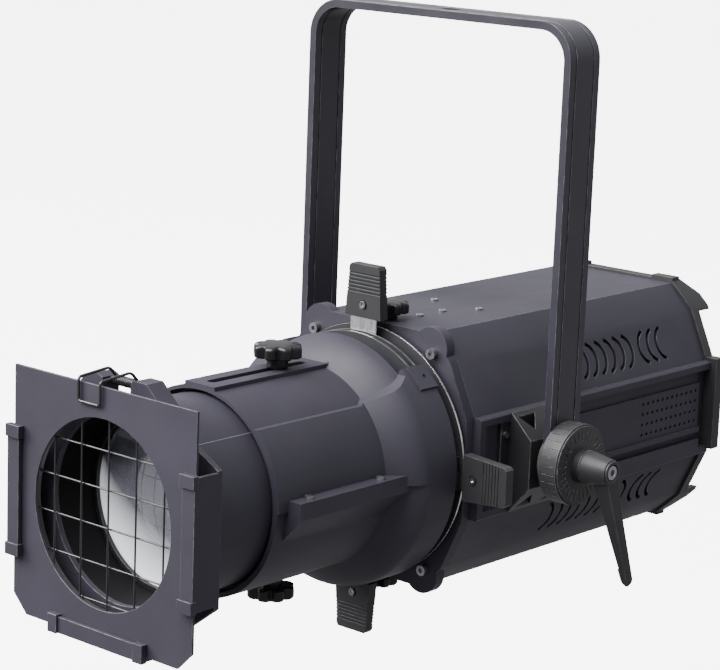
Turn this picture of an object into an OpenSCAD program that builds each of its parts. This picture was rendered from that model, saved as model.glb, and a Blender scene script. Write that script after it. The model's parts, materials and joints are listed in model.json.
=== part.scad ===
// Ellipsoidal spotlight with an LED light engine, hung from its yoke.
// The optical axis runs along +Y, from the colour frame at the front to the rear panel.
// The origin is the centre of the clamp-bolt hole, on the top face of the yoke.
// Inside the modules, y counts from the colour frame and x = z = 0 is the optical axis.

/* [Yoke] */
// Clear width between the yoke arms
yoke_gap = 215; // [214:1:224]
// Height of the yoke's top face above the tilt axis
yoke_rise = 290; // [270:1:320]
// Width of the yoke's flat bar
yoke_bar_w = 32; // [26:1:36]
// Thickness of the yoke's flat bar
yoke_bar_t = 5.5; // [5:0.5:7]
// Outer radius of the yoke's two bends
yoke_bend_r = 25; // [15:1:40]
// Diameter of the clamp-bolt hole
clamp_hole_d = 13; // [9:0.5:14]

/* [Colour frame] */
// Outside width and height of the colour frame
frame_size = 159; // [158:0.5:160]
// Diameter of the round opening in the colour frame
frame_opening_d = 119.6; // [110:0.2:120]
// Spacing of the guard wires
guard_pitch = 24; // [16:1:30]

/* [Lens tube and barrel] */
// Outside diameter of the sliding lens tube
tube_d = 125; // [124:0.5:125]
// Place of the focus knobs along the slot, from the colour frame
focus_y = 150; // [140:1:160]
// Outside diameter of the lower barrel half
barrel_d = 137; // [136:0.5:139]
// Outside diameter of the shutter drum
drum_d = 174; // [172:1:176]

/* [Shutters] */
// Width of a shutter blade inside the drum
blade_w = 76; // [70:1:76]
// Thickness of a shutter blade
blade_t = 0.8; // [0.6:0.1:0.9]
// Length of a shutter grip
grip_len = 35.5; // [30:0.5:40]

/* [Housing] */
// Half height of the lamp housing
housing_half_h = 87; // [86:0.5:89]
// Length of the housing shells
housing_len = 269; // [266:1:276]
// Number of crescent vents in the long row of each facet
vent_count = 9; // [2:1:9]

/* [Hidden] */
$fn = 72;

BLACK = [0.24, 0.23, 0.27];
DARK = [0.16, 0.16, 0.18];
STEEL = [0.75, 0.75, 0.77];
GLASS = [0.7, 0.8, 0.85, 0.4];
BOARD = [0.1, 0.35, 0.2];
BIG = 400;
EPS = 0.01;

// Fits
run_gap = 0.05;
slide_gap = 0.3;

// Tilt axis
tilt_y = 310;
tilt_z = 2;
stud_r = 6;
bush_r = 10;
washer_r = 19;
boss_face_x = yoke_gap / 2 - 2.3;
bracket_half_w = 26;
base_half_w = 35;
arm_inner_x = yoke_gap / 2;
arm_outer_x = arm_inner_x + yoke_bar_t;
disc_r = 27.5;
disc_x0 = arm_outer_x + slide_gap;
disc_x1 = disc_x0 + 14.7;

// Housing cross-section, right half, from the waist to the top
waist = [82, 34.6];
shoulder = [66, 70];
crown = [48, housing_half_h];
wall_t = 2.5;
housing_y0 = 252;
housing_y1 = housing_y0 + housing_len;
OUTLINE = [
    [waist.x, -waist.y], waist, shoulder, crown,
    [-crown.x, crown.y], [-shoulder.x, shoulder.y], [-waist.x, waist.y],
    [-waist.x, -waist.y], [-shoulder.x, -shoulder.y], [-crown.x, -crown.y],
    [crown.x, -crown.y], [shoulder.x, -shoulder.y],
];
web_x = 84;
rail_x = 88;
rail_z = 29;
web_y1 = housing_y1 - 10;

// Front plate and rear parts
plate_y0 = 244;
ear = [49, housing_half_h - 10];
ear_r = 14;
ear_screw = [52, 74];
cap_lip = 2;
cap_y1 = housing_y1 + 9;
flange_inset = 3;
flange_y1 = cap_y1 + 1;
box_inset = 14;
panel_y1 = housing_y1 + 24;

// Barrel, drum and neck
barrel_y0 = 80;
barrel_r = barrel_d / 2;
tube_r = tube_d / 2;
bore_r = tube_r + slide_gap;
mouth_gap = 2.4;
mouth_y = barrel_y0 + 6;
drum_r = drum_d / 2;
drum_rim_y = 232;
drum_floor_y = 210;
top_panel_r = 67.6;
top_panel_angle = 60;
side_panel_r = 70.2;
side_panel_z = 49;
pad_top_z = 69;
pad_half_w = 13;
slot_half_w = 3.4;
slot_y0 = focus_y - 62;
slot_y1 = focus_y + 26;
flange_x = 80;
flange_z = 7;
neck_r = 56;
neck_inner_r = 50;
neck_y0 = 240.5;
neck_y1 = 266;
collar_y1 = 262;

// Shutters: one plane for each blade, in the gap between the drum rim and the rear guide plate
top_plane_y = 232.8;
bottom_plane_y = 234.3;
left_plane_y = 235.8;
right_plane_y = 237.3;
gate_r = 32;
blade_inner_z = -5;
blade_shoulder_z = 32;
tongue_half_w = 11.25;
grip_z0 = 91;
grip_t = 7.6;
grip_y = 235;
grip_screw_z = 99.5;
grip_recess = 0.8;

// Guide posts, spread evenly around the gate
post_angles = [45, 135, 225, 315];
post_ring_r = 76;
post_r = 3;

// Lens tube and its lenses; a lens's place is its flat face
tube_y0 = 18;
tube_y1 = 185;
tube_inner_r = tube_r - 3;
front_lens_y = 56;
rear_lens_y = 133;

// Holder for the colour frame
back_y0 = 14;
lip_y0 = -4.5;
lip_y1 = -1.5;
wall_in = frame_size / 2 + 0.4;
wall_out = wall_in + 2.4;

// Spring clip over the top edge of the colour frame; the pin's place is [y, z]
clip_pin = [28, 76];
clip_pin_r = 1.8;
clip_coil_r = 3.3;
clip_wire_r = 1;
clip_left_x = -20;
clip_right_x = -1;

// Clamping lever
collar_x1 = disc_x1 + 6;
collar_r = 11.5;
hub_x0 = collar_x1 + slide_gap;
hub_x1 = disc_x1 + 24.5;
hub_r = 8.6;
core_r = 5;
core_x1 = disc_x1 + 15;
lever_x1 = disc_x1 + 26;
lever_angle = 20.5;

// Light engine
light_y = 338;
light_tube_r = 41;
condenser_seat_y = 283;
fan_y0 = 440;
fan_bore_r = 42;

// Rear panel layout
panel_t = 2.5;
button_r = 4.5;
button_x = [-12, 12];
button_z = 18;
socket_x = [-48, -16, 16, 48];
socket_z = -24;
fuse_z = -58;

// ---------- general shapes ----------

function edge_normal(a, b) = let (d = b - a) [d.y, -d.x] / norm(d);
function inset_point(a, b, c, t) =
    let (n1 = edge_normal(a, b), n2 = edge_normal(b, c)) b - (n1 + n2) * t / (1 + n1 * n2);
function inset(points, t) =
    let (n = len(points))
    [for (i = [0:n - 1]) inset_point(points[(i + n - 1) % n], points[i], points[(i + 1) % n], t)];

// Puts the lamp's own coordinates into the part's frame.
module in_place() {
    translate([0, -tilt_y, -yoke_rise - tilt_z]) children();
}

// Extrudes a shape drawn in x and z along y.
module along_y(y0, y1) {
    translate([0, y1, 0]) rotate([90, 0, 0]) linear_extrude(y1 - y0) children();
}

// Extrudes a shape drawn in y and z along x.
module along_x(x0, x1) {
    translate([x0, 0, 0]) rotate([90, 0, 90]) linear_extrude(x1 - x0) children();
}

// Turns a profile of [radius, y] points about the optical axis.
module turned(points) {
    rotate([-90, 0, 0]) rotate_extrude($fn = 96) polygon(points);
}

module rod_y(r, y0, y1) {
    translate([0, y0, 0]) rotate([-90, 0, 0]) cylinder(r = r, h = y1 - y0);
}

module rod_x(r, x0, x1) {
    translate([x0, 0, 0]) rotate([0, 90, 0]) cylinder(r = r, h = x1 - x0);
}

module rod_z(r, z0, z1) {
    translate([0, 0, z0]) cylinder(r = r, h = z1 - z0);
}

module ring_y(r_out, r_in, y0, y1) {
    difference() {
        rod_y(r_out, y0, y1);
        rod_y(r_in, y0 - 1, y1 + 1);
    }
}

// Box from one corner to the other.
module block(low, high) {
    translate(low) cube(high - low);
}

// Everything between two angles around the optical axis, counted from +Z towards +X.
module sector(a0, a1, y0, y1) {
    steps = ceil((a1 - a0) / 30);
    along_y(y0, y1)
        polygon(concat(
            [[0, 0]],
            [for (i = [0:steps]) let (a = a0 + (a1 - a0) * i / steps) [BIG * sin(a), BIG * cos(a)]]
        ));
}

// Screw along +Z with a socket head; z = 0 is the face it is screwed down to.
module cap_screw(head_r, head_h, shank_r = 0, shank_l = 0) {
    difference() {
        cylinder(r = head_r, h = head_h, $fn = 32);
        translate([0, 0, head_h * 0.4]) cylinder(r = head_r * 0.5, h = head_h, $fn = 6);
    }
    if (shank_l > 0)
        translate([0, 0, -shank_l]) cylinder(r = shank_r, h = shank_l + EPS, $fn = 24);
}

// Star knob along +Z, with a stem below and a threaded stud; z = 0 is the underside of the stem.
module star_knob(r, stem_r, stem_h, head_h, stud_len) {
    flute_r = r * 0.26;
    difference() {
        rod_z(r, stem_h, stem_h + head_h);
        for (a = [0:45:315])
            rotate(a) translate([r * 1.1, 0, 0]) rod_z(flute_r, stem_h - 1, stem_h + head_h + 1);
    }
    rod_z(stem_r, 0, stem_h + EPS);
    rod_z(3, -stud_len, EPS);
}

// ---------- yoke ----------

// Arch with two round shoulders, drawn in x and z.
module arch(half_w, top, r) {
    bottom = tilt_z - 20;
    translate([-half_w, bottom]) square([2 * half_w, top - r - bottom]);
    translate([r - half_w, bottom]) square([2 * (half_w - r), top - bottom]);
    for (s = [-1, 1])
        translate([s * (half_w - r), top - r]) circle(r);
}

// The bent bar between two depths below its outer face.
module yoke_layer(from_depth, to_depth) {
    top = yoke_rise + tilt_z;
    difference() {
        arch(arm_outer_x - from_depth, top - from_depth, yoke_bend_r - from_depth);
        translate([0, -EPS]) arch(arm_outer_x - to_depth, top - to_depth, yoke_bend_r - to_depth);
    }
}

module yoke() color(BLACK) in_place() {
    groove_w = 1.2;
    groove_depth = 0.6;
    groove_y = yoke_bar_w / 2 - 6.5;
    difference() {
        intersection() {
            along_y(tilt_y - 20, tilt_y + 20) yoke_layer(0, yoke_bar_t);
            along_x(-BIG, BIG) {
                translate([tilt_y - yoke_bar_w / 2, tilt_z]) square([yoke_bar_w, yoke_rise + 1]);
                translate([tilt_y, tilt_z]) circle(20);
            }
        }
        for (s = [-1, 1]) {
            y = tilt_y + s * groove_y;
            along_y(y - groove_w / 2, y + groove_w / 2) {
                yoke_layer(-EPS, groove_depth);
                yoke_layer(yoke_bar_t - groove_depth, yoke_bar_t + EPS);
            }
        }
        translate([0, tilt_y, tilt_z]) rod_x(bush_r + run_gap, -BIG, BIG);
        translate([0, tilt_y, 0]) rod_z(clamp_hole_d / 2, yoke_rise - 20, yoke_rise + 20);
    }
}

module friction_washers() color(DARK) in_place() {
    for (s = [0, 1])
        mirror([s, 0, 0]) translate([0, tilt_y, tilt_z]) difference() {
            rod_x(washer_r, boss_face_x + slide_gap, arm_inner_x);
            rod_x(bush_r + 0.6, boss_face_x, arm_inner_x + 1);
        }
}

// ---------- housing ----------

// One crescent vent, drawn in y and z, with its bow towards +Y.
module crescent() {
    bow_r = 12.5;
    slot_w = 2.8;
    half_angle = 70;
    translate([-bow_r, 0]) intersection() {
        difference() {
            circle(bow_r + slot_w / 2);
            circle(bow_r - slot_w / 2);
        }
        polygon([[0, 0], [20, -20 * tan(half_angle)], [20, 20 * tan(half_angle)]]);
    }
}

// Row of vents for the facet between waist and shoulder on the right side.
module vent_row() {
    first_y = 353.5;
    first_reversed_y = 448;
    pitch = 10.7;
    facet = shoulder - waist;
    lean = atan(-facet.x / facet.y);
    middle = (waist + shoulder) / 2;
    translate([middle.x, 0, middle.y]) rotate([0, -lean, 0]) along_x(-6, 6) {
        for (i = [0:vent_count - 1])
            translate([first_y + i * pitch, 0]) crescent();
        for (i = [0:2])
            translate([first_reversed_y + i * pitch, 0]) mirror([1, 0]) crescent();
    }
}

// Folded shell over the top; the bottom shell is its mirror image.
module folded_shell() {
    difference() {
        intersection() {
            along_y(housing_y0, housing_y1) difference() {
                polygon(OUTLINE);
                polygon(inset(OUTLINE, wall_t));
            }
            block([-BIG, 0, waist.y], [BIG, BIG * 2, BIG]);
        }
        for (s = [0, 1])
            mirror([s, 0, 0]) vent_row();
        translate([0, 258, 0]) rod_z(3.3, 60, 100);
    }
}

module top_shell() color(BLACK) in_place() folded_shell();

module bottom_shell() color(BLACK) in_place() mirror([0, 0, 1]) folded_shell();

// Side panel with a frame around its recessed web, two ribs behind the bracket, and rows of vent holes.
module side_panel() {
    hole_pitch = [6, 7.5];
    rib_y0 = tilt_y + base_half_w + 1;
    difference() {
        union() {
            along_y(housing_y0, housing_y1) polygon([
                [waist.x - wall_t, waist.y], [rail_x - 1, waist.y], [rail_x, waist.y - 1], [rail_x, rail_z],
                [web_x, rail_z], [web_x, -rail_z], [rail_x, -rail_z], [rail_x, 1 - waist.y],
                [rail_x - 1, -waist.y], [waist.x - wall_t, -waist.y],
            ]);
            block([web_x - EPS, housing_y0, -rail_z - EPS], [rail_x, housing_y0 + 6, rail_z + EPS]);
            block([web_x - EPS, rib_y0, -16.5], [web_x + 2, web_y1, 20]);
            block([web_x - EPS, rib_y0, -16.5], [rail_x, web_y1, -13]);
            block([web_x - EPS, rib_y0, -rail_z - EPS], [rail_x, web_y1, -22]);
        }
        block([waist.x, web_y1, -rail_z], [BIG, BIG * 2, rail_z]);
        for (i = [0:11], j = [0:3])
            translate([0, 440 + i * hole_pitch.x, -8 + j * hole_pitch.y]) rod_x(1.3, 70, 95, $fn = 16);
    }
}

module right_side_panel() color(BLACK) in_place() side_panel();

module left_side_panel() color(BLACK) in_place() mirror([1, 0, 0]) side_panel();

// Octagonal plate with four screw ears and a collar that the barrel neck turns in.
module front_plate() color(BLACK) in_place() difference() {
    union() {
        along_y(plate_y0, housing_y0) {
            polygon(OUTLINE);
            for (sx = [-1, 1], sz = [-1, 1])
                translate([sx * ear.x, sz * ear.y]) circle(ear_r);
        }
        rod_y(neck_r + 6, housing_y0 - EPS, collar_y1);
    }
    rod_y(neck_r + run_gap, 0, BIG);
    for (sx = [-1, 1], sz = [-1, 1])
        translate([sx * ear_screw.x, 0, sz * ear_screw.y])
            rod_y(2.5, plate_y0 - 1, housing_y0 + 1, $fn = 24);
    translate([0, 258, 0]) rod_z(3 + run_gap, -100, 100, $fn = 24);
}

// Fin behind one corner of the cap, deeper towards the side.
module corner_fin() {
    fin_y1 = cap_y1 + 13;
    intersection() {
        along_y(cap_y1 - EPS, fin_y1) difference() {
            polygon(inset(OUTLINE, -cap_lip));
            polygon(inset(OUTLINE, flange_inset));
        }
        translate([0, 0, shoulder.y - 2]) linear_extrude(BIG)
            polygon([
                [crown.x, cap_y1 - 1], [crown.x, cap_y1 + 1], [60, fin_y1], [BIG, fin_y1], [BIG, cap_y1 - 1],
            ]);
    }
}

module rear_cap() color(DARK) in_place() {
    side_x = 93;
    block_z = housing_half_h + 4;
    difference() {
        union() {
            along_y(housing_y1, cap_y1) polygon(inset(OUTLINE, -cap_lip));
            for (s = [-1, 1])
                translate([s * 40, 0, 0]) block([-9.5, housing_y1, -block_z], [9.5, cap_y1, block_z]);
            block([-side_x, housing_y1, -31], [side_x, cap_y1, 37]);
        }
        along_y(0, BIG * 2) polygon(inset(OUTLINE, flange_inset));
    }
    for (sx = [0, 1], sz = [0, 1])
        mirror([sx, 0, 0]) mirror([0, 0, sz]) corner_fin();
}

// Flange inside the cap and a raised box in the middle, both hollow.
module rear_panel() color(BLACK) in_place() difference() {
    union() {
        along_y(housing_y1, flange_y1) polygon(inset(OUTLINE, flange_inset));
        along_y(housing_y1, panel_y1) polygon(inset(OUTLINE, box_inset));
    }
    along_y(housing_y1 - 1, flange_y1 - panel_t) polygon(inset(OUTLINE, flange_inset + panel_t));
    along_y(housing_y1 - 1, panel_y1 - panel_t) polygon(inset(OUTLINE, box_inset + panel_t));
    block([-26, panel_y1 - 5, 34], [26, panel_y1 + 1, 58]);
    for (x = button_x)
        translate([x, 0, button_z]) rod_y(button_r + run_gap, panel_y1 - 5, panel_y1 + 1);
    for (x = socket_x)
        translate([x, 0, socket_z]) rod_y(11, panel_y1 - 5, panel_y1 + 1);
    translate([0, 0, fuse_z]) rod_y(6, panel_y1 - 5, panel_y1 + 1);
}

module housing_screws() color(STEEL) in_place() {
    for (sx = [-1, 1], sz = [-1, 1])
        translate([sx * ear_screw.x, plate_y0, sz * ear_screw.y]) rotate([90, 0, 0])
            cap_screw(3.65, 4, 2.4, 7.5);
    for (p = [[8, 281], [8, 305], [20, 330], [-20, 330]])
        translate([p.x, p.y, housing_half_h]) cap_screw(2.6, 1.2);
    for (s = [0, 1], sy = [-1, 1], sz = [-1, 1])
        mirror([s, 0, 0]) translate([web_x + 3, tilt_y + sy * 30.5, sz * 20]) rotate([0, 90, 0])
            cap_screw(2.2, 1.6);
    for (sx = [-1, 1], sz = [-1, 1])
        translate([sx * 52, flange_y1, sz * 72]) rotate([-90, 0, 0]) cap_screw(2.8, 2);
}

// Cast bracket: base plate on the side panel, and a block with sloping webs and triangular windows.
module bracket() {
    window = [[91, 22], [99, 14], [91, 5]];
    difference() {
        union() {
            block([web_x, tilt_y - base_half_w, -rail_z], [web_x + 3, tilt_y + base_half_w, rail_z]);
            along_y(tilt_y - bracket_half_w, tilt_y + bracket_half_w) polygon([
                [web_x, rail_z], [rail_x, rail_z], [rail_x, waist.y], [boss_face_x, tilt_z + 16],
                [boss_face_x, tilt_z - 17], [rail_x, -waist.y], [rail_x, -rail_z], [web_x, -rail_z],
            ]);
        }
        for (sy = [0, 1], sz = [0, 1])
            translate([0, tilt_y, 0]) mirror([0, sy, 0]) mirror([0, 0, sz]) translate([0, 0, tilt_z + 9])
                linear_extrude(waist.y) polygon(window);
        translate([0, tilt_y, tilt_z]) rod_x(stud_r + run_gap, web_x - 5, boss_face_x + 1);
    }
}

module right_bracket() color(DARK) in_place() bracket();

module left_bracket() color(DARK) in_place() mirror([1, 0, 0]) bracket();

module pivot_bushes() color(STEEL) in_place() {
    for (s = [0, 1])
        mirror([s, 0, 0]) translate([0, tilt_y, tilt_z]) difference() {
            rod_x(bush_r, boss_face_x, disc_x0);
            rod_x(stud_r + run_gap, boss_face_x - 1, disc_x0 + 1);
        }
}

// Clamp disc with short radial grooves on its face and fine lines along its side.
module tilt_disc() {
    groove_count = 30;
    groove_r = [17, 24];
    face_r = disc_r - 1.1;
    difference() {
        union() {
            rod_x(disc_r, disc_x0, disc_x1 - 1);
            rod_x(face_r, disc_x0, disc_x1);
        }
        for (i = [0:groove_count - 1])
            rotate([i * 360 / groove_count, 0, 0]) {
                block([disc_x1 - 0.5, -0.4, groove_r[0]], [disc_x1 + 1, 0.4, groove_r[1]]);
                block([disc_x0 + 2, -0.3, disc_r - 0.4], [disc_x1 - 2.5, 0.3, disc_r + 1]);
            }
        rod_x(stud_r + run_gap, 0, BIG);
    }
}

module tilt_discs() color(DARK) in_place() {
    for (s = [0, 1])
        mirror([s, 0, 0]) translate([0, tilt_y, tilt_z]) tilt_disc();
}

module left_pivot_bolt() color(DARK) in_place() {
    translate([-disc_x1, tilt_y, tilt_z]) rotate([0, -90, 0]) cap_screw(11, 9, stud_r, disc_x1 - web_x - 2);
}

// ---------- clamping lever ----------

module clamp_stud() color(STEEL) in_place() translate([0, tilt_y, tilt_z]) {
    rod_x(stud_r, web_x + 2, collar_x1);
    rod_x(collar_r, disc_x1 + slide_gap, collar_x1);
    rod_x(core_r, collar_x1 - EPS, core_x1);
}

module lever_screw() color(STEEL) in_place() translate([core_x1 + 7, tilt_y, tilt_z])
    rotate([0, 90, 0]) cap_screw(4.9, 3.6, 2.5, 7);

// Arm of the lever hanging down: its outline seen along x, trimmed to its outline seen along y.
module lever_arm() {
    intersection() {
        along_x(collar_x1, lever_x1) polygon([
            [-6.2, 0], [6, 0], [3.2, -36], [2.6, -60], [2, -86], [0.5, -88.5], [-4.2, -89], [-5.2, -84],
        ]);
        along_y(-20, 20) translate([disc_x1, 0]) polygon([
            [11, 1], [11, 0], [15.8, -34], [18, -55], [20, -74], [19, -75], [20.3, -86], [22, -88.5],
            [24.5, -88.5], [25, -86], [25, 1],
        ]);
    }
}

module clamping_lever() color(BLACK) in_place() translate([0, tilt_y, tilt_z]) difference() {
    union() {
        translate([hub_x0, 0, 0]) rotate([0, 90, 0])
            cylinder(r1 = collar_r, r2 = hub_r, h = hub_x1 - hub_x0);
        rod_x(hub_r - 0.8, hub_x1 - EPS, lever_x1);
        rotate([lever_angle, 0, 0]) lever_arm();
    }
    rod_x(core_r + 0.06, 0, core_x1 + 1);
    rod_x(5.6, core_x1, BIG);
}

// ---------- rear fittings ----------

module display_window() color(GLASS) in_place() {
    block([-25.8, panel_y1 - 2.5, 34.2], [25.8, panel_y1 - 0.5, 57.8]);
}

// Round socket with a flange, an open well and three contacts at the bottom of the well.
module socket(flange_w, flange_h) {
    well_r = 8.4;
    difference() {
        union() {
            block([-flange_w / 2, panel_y1, -flange_h / 2], [flange_w / 2, panel_y1 + 2, flange_h / 2]);
            rod_y(10.9, panel_y1 - 12, panel_y1 + 3);
        }
        rod_y(well_r, panel_y1 - 8, panel_y1 + 10);
    }
    for (a = [0, 120, 240])
        rotate([0, a, 0]) translate([0, 0, 4]) rod_y(1, panel_y1 - 8 - EPS, panel_y1 - 5, $fn = 16);
}

module data_sockets() color(DARK) in_place() {
    for (i = [0, 1])
        translate([socket_x[i], 0, socket_z]) socket(26, 31);
}

module power_sockets() color([0.2, 0.3, 0.5]) in_place() {
    for (i = [2, 3])
        translate([socket_x[i], 0, socket_z]) socket(26, 31);
}

module fuse_holder() color(DARK) in_place() translate([0, 0, fuse_z]) {
    rod_y(5.9, panel_y1 - 15, panel_y1);
    rod_y(8, panel_y1, panel_y1 + 5);
}

// Cap in the panel's bore, with a flange behind the panel that stops it coming out.
module menu_button(x) {
    flange_y1 = panel_y1 - panel_t - slide_gap;
    translate([x, 0, button_z]) {
        rod_y(button_r, flange_y1 - EPS, panel_y1 + 2.6);
        rod_y(button_r + 1.5, flange_y1 - 1.5, flange_y1);
    }
}

module menu_button_1() color(STEEL) in_place() menu_button(button_x[0]);

module menu_button_2() color(STEEL) in_place() menu_button(button_x[1]);

// ---------- light engine ----------

module light_tube() color(DARK) in_place() {
    ring_y(light_tube_r + 3, light_tube_r, 268, light_y - 4);
    ring_y(light_tube_r + EPS, light_tube_r - 5, condenser_seat_y - 3, condenser_seat_y);
}

// Plano-convex condenser, flat face on its seat, with its bow to the LEDs.
module condenser_lens() color(GLASS) in_place()
    mirror([0, 1, 0]) lens(light_tube_r - 0.2, 60, 18, -condenser_seat_y);

module led_module() color([0.9, 0.8, 0.3]) in_place() {
    block([-30, light_y - 2, -30], [30, light_y, 30]);
    rod_y(14, light_y - 3.2, light_y - 2 + EPS);
}

module heat_sink() color([0.6, 0.6, 0.62]) in_place() {
    half = 46;
    fin_pitch = 8;
    block([-half, light_y, -half], [half, light_y + 8, half]);
    for (i = [-5.5:5.5])
        block([i * fin_pitch - 1, light_y + 8 - EPS, -half], [i * fin_pitch + 1, 432, half]);
}

module fan_frame() color(DARK) in_place() {
    difference() {
        block([-46, fan_y0, -46], [46, fan_y0 + 25, 46]);
        rod_y(fan_bore_r, fan_y0 - 1, fan_y0 + 26);
    }
    for (a = [45:90:315])
        rotate([0, a, 0]) block([-2, fan_y0 + 22, 15], [2, fan_y0 + 25, fan_bore_r + 1]);
    rod_y(16, fan_y0 + 22, fan_y0 + 25);
    rod_y(2, fan_y0 + 4, fan_y0 + 23);
}

module fan_rotor() color(DARK) in_place() {
    difference() {
        union() {
            rod_y(16, fan_y0 + 2, fan_y0 + 21);
            intersection() {
                for (i = [0:6])
                    rotate([0, i * 360 / 7, 0]) translate([0, fan_y0 + 11, 0]) rotate([0, 0, 38])
                        block([-10, -0.8, 10], [10, 0.8, 50]);
                rod_y(fan_bore_r - 1.5, fan_y0 + 2, fan_y0 + 21);
            }
        }
        rod_y(2 + run_gap, fan_y0 + 3, BIG * 2);
    }
}

module driver_board() color(BOARD) in_place() {
    block([-44, 524, -12], [44, 525.6, 62]);
    block([-25, 525.6, 34], [25, 538, 58]);
    for (x = [-34, 30])
        block([x, 514, -4], [x + 10, 524, 20]);
}

module power_supply() color([0.7, 0.7, 0.72]) in_place() {
    block([-38, 350, -82], [38, 500, -52]);
}

// ---------- barrel, drum and neck ----------

// Wall of the barrel and drum, turned; each stretch of the casting has its own outer curve.
module barrel_wall(r, flare_y0, flare_y1, flare_r) {
    steps = 6;
    flare = [for (i = [0:steps]) let (t = i / steps)
        [r + (flare_r - r) * sin(90 * t), flare_y0 + (flare_y1 - flare_y0) * t]];
    turned(concat(
        [[bore_r, mouth_y], [bore_r + mouth_gap, mouth_y], [bore_r + mouth_gap, barrel_y0], [r, barrel_y0]],
        flare,
        [[drum_r, flare_y1 + 5], [drum_r, drum_rim_y - 2], [drum_r - 1.5, drum_rim_y],
         [drum_r - 4, drum_rim_y], [drum_r - 4, drum_floor_y], [bore_r, drum_floor_y]]
    ));
}

// Arc-shaped opening in the top of the drum, over the pattern slot and the shutters.
module pattern_opening() {
    difference() {
        sector(-38, 38, 209, 260);
        rod_y(76, 200, 270);
    }
}

module slot_pad() {
    difference() {
        block([-pad_half_w, barrel_y0, 55], [pad_half_w, 190, pad_top_z]);
        rod_y(bore_r + mouth_gap, 0, mouth_y);
        rod_y(bore_r, 0, BIG);
    }
}

module focus_slot() {
    block([-slot_half_w, slot_y0 + slot_half_w, 50], [slot_half_w, slot_y1 - slot_half_w, 80]);
    for (y = [slot_y0 + slot_half_w, slot_y1 - slot_half_w])
        translate([0, y, 0]) rod_z(slot_half_w, 50, 80);
}

// Space taken by the raised side panel of the upper half, drawn in y and z.
module side_panel_outline() {
    polygon([
        [barrel_y0 - 1, 0], [barrel_y0 - 1, side_panel_z], [176, side_panel_z], [209, 65], [209, BIG],
        [BIG, BIG], [BIG, 0],
    ]);
}

// Shoulder on the drum beside the pattern opening, with a small hole through its middle.
module drum_shoulder() {
    rotate([0, 44, 0]) difference() {
        block([-9, 214, drum_r - 3], [9, drum_rim_y - 1, drum_r + 1.2]);
        translate([0, 224, 0]) rod_z(1.5, drum_r - 1, drum_r + 2, $fn = 24);
    }
}

module barrel_upper() color(BLACK) in_place() difference() {
    union() {
        intersection() {
            barrel_wall(top_panel_r, 182, 209, drum_r - 4);
            sector(-top_panel_angle, top_panel_angle, 0, BIG);
        }
        slot_pad();
        for (s = [0, 1])
            mirror([s, 0, 0]) {
                intersection() {
                    barrel_wall(side_panel_r, 179, 203, drum_r);
                    along_x(0, BIG) side_panel_outline();
                }
                block([side_panel_r - 3, barrel_y0 + 9, 0], [flange_x, 203, flange_z]);
                drum_shoulder();
            }
    }
    focus_slot();
    pattern_opening();
}

module barrel_lower() color(BLACK) in_place() mirror([0, 0, 1]) difference() {
    union() {
        intersection() {
            barrel_wall(barrel_r, 185, 205, drum_r);
            sector(-90, 90, 0, BIG);
        }
        slot_pad();
        for (s = [0, 1])
            mirror([s, 0, 0]) along_y(barrel_y0 + 9, 203)
                polygon([[barrel_r - 3, 0], [flange_x, 0], [flange_x, 4], [barrel_r - 5, 22]]);
    }
    rod_y(bore_r, 0, 205);
    focus_slot();
}

module barrel_screws() color(STEEL) in_place() {
    for (s = [-1, 1], y = [103, 169])
        translate([s * 74, y, flange_z]) cap_screw(3, 1.6);
}

module barrel_neck() color(DARK) in_place() {
    ring_y(80, neck_inner_r, neck_y0, neck_y0 + 2.8);
    ring_y(neck_r, neck_inner_r, neck_y0 + 2.8 - EPS, neck_y1);
}

module neck_retainer() color(STEEL) in_place()
    ring_y(neck_r + 6, neck_r, collar_y1 + slide_gap, neck_y1 - 0.5);

module guide_posts() color(STEEL) in_place() {
    for (a = post_angles)
        rotate([0, a, 0]) translate([0, 0, post_ring_r]) rod_y(post_r, drum_floor_y, neck_y0, $fn = 24);
}

// Sheet-steel guide plate with a round gate and holes for the posts.
module guide_plate(r, opening_r, y0, y1) {
    difference() {
        ring_y(r, opening_r, y0, y1);
        for (a = post_angles)
            rotate([0, a, 0]) translate([0, 0, post_ring_r]) rod_y(post_r, y0 - 1, y1 + 1, $fn = 24);
    }
}

module shutter_guides() color(STEEL) in_place() {
    guide_plate(82.5, gate_r + 5, 223.5, 225.5);
    guide_plate(82.5, gate_r + 1, 230, 231.4);
    guide_plate(85.3, gate_r, 239, neck_y0);
}

// ---------- shutters ----------

// Blade with its grip screw, drawn for the top shutter.
module blade(y) {
    t = blade_t / 2;
    corner = 8;
    difference() {
        union() {
            along_y(y - t, y + t) polygon([
                [-blade_w / 2, blade_inner_z], [blade_w / 2, blade_inner_z],
                [blade_w / 2, blade_shoulder_z - corner], [blade_w / 2 - corner, blade_shoulder_z],
                [-blade_w / 2 + corner, blade_shoulder_z], [-blade_w / 2, blade_shoulder_z - corner],
            ]);
            along_y(y - t, y + t) translate([-tongue_half_w, blade_shoulder_z - EPS])
                square([2 * tongue_half_w, 78.5]);
        }
        translate([0, 0, grip_screw_z]) rod_y(1.9, y - 2, y + 2, $fn = 24);
    }
    translate([0, grip_y - grip_t / 2 + grip_recess, grip_screw_z]) rotate([90, 0, 0])
        cap_screw(2.6, 1.6, 1.9, grip_t - 1 - grip_recess);
}

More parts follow.
